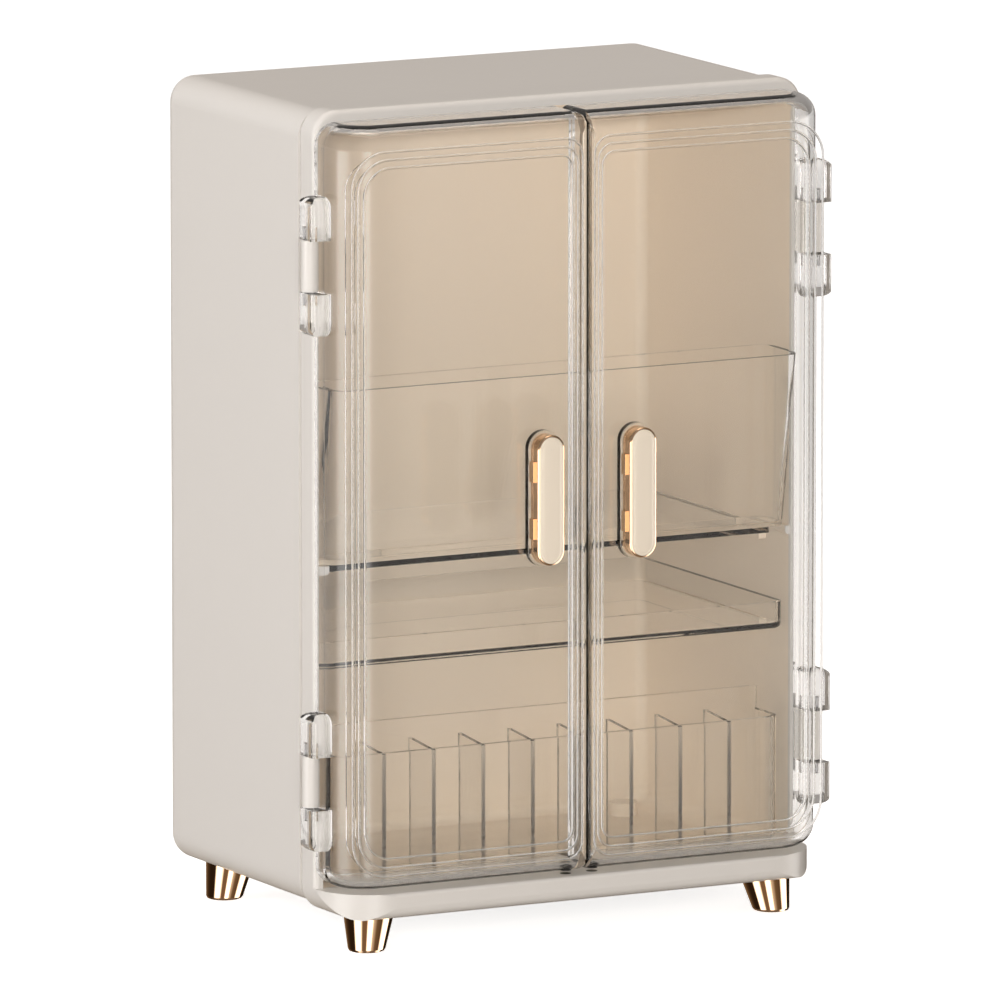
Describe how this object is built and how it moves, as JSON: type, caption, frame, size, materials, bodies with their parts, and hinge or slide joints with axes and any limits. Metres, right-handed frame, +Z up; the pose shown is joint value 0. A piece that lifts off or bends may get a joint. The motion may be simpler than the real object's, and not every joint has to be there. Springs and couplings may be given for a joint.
{
  "type": "makeup organizer cabinet",
  "caption": "Two-door clear-fronted cosmetic cabinet on small feet, with a lift-out brush bin, a slotted lipstick rack, a tray and a shelf.",
  "frame": {"origin": "on the standing surface, under the middle of the bounding box with the doors closed", "axes": "+Z up, +Y to the back, +X to the right as seen from the front, doors facing -Y"},
  "size_m": [0.256, 0.1794, 0.3676],
  "materials": {
    "cream_abs": "glossy moulded",
    "clear_door": "clear polished",
    "clear_inner": "clear polished",
    "rose_gold": "polished plated",
    "champagne": "satin",
    "steel": "bright",
    "magnet": "dark coated"
  },
  "bodies": {
    "cabinet": {"rear_shell": "cream_abs", "front_frame": "cream_abs", "foot_front_left": "rose_gold", "foot_front_right": "rose_gold", "foot_rear_left": "rose_gold", "foot_rear_right": "rose_gold", "foot_studs": "steel", "left_hinge_pins": "steel", "right_hinge_pins": "steel", "base_magnets": "magnet", "clear_shelf": "clear_inner"},
    "door_left": {"left_door": "clear_door", "left_handle_shell": "rose_gold", "left_handle_inlay": "champagne", "left_handle_screws": "steel", "left_door_magnet": "magnet"},
    "door_right": {"right_door": "clear_door", "right_handle_shell": "rose_gold", "right_handle_inlay": "champagne", "right_handle_screws": "steel", "right_door_magnet": "magnet"},
    "brush_bin": {"brush_bin": "clear_inner"},
    "rear_tray": {"rear_tray": "clear_inner"},
    "lipstick_rack": {"lipstick_rack": "clear_inner", "rack_dividers": "clear_inner"}
  },
  "joints": [
    {"name": "left_door_hinge", "type": "hinge", "parent": "cabinet", "child": "door_left", "pos_m": [-0.124, -0.05785, 0.1956], "axis": [0, 0, -1], "range_deg": [0, 170]},
    {"name": "right_door_hinge", "type": "hinge", "parent": "cabinet", "child": "door_right", "pos_m": [0.124, -0.05785, 0.1956], "axis": [0, 0, 1], "range_deg": [0, 170]},
    {"name": "brush_bin_lift", "type": "slide", "parent": "cabinet", "child": "brush_bin", "axis": [0, 0, 1], "range_m": [0, 0.012]},
    {"name": "rear_tray_lift", "type": "slide", "parent": "cabinet", "child": "rear_tray", "axis": [0, 0, 1], "range_m": [0, 0.01]},
    {"name": "lipstick_rack_lift", "type": "slide", "parent": "cabinet", "child": "lipstick_rack", "axis": [0, 0, 1], "range_m": [0, 0.012]}
  ]
}
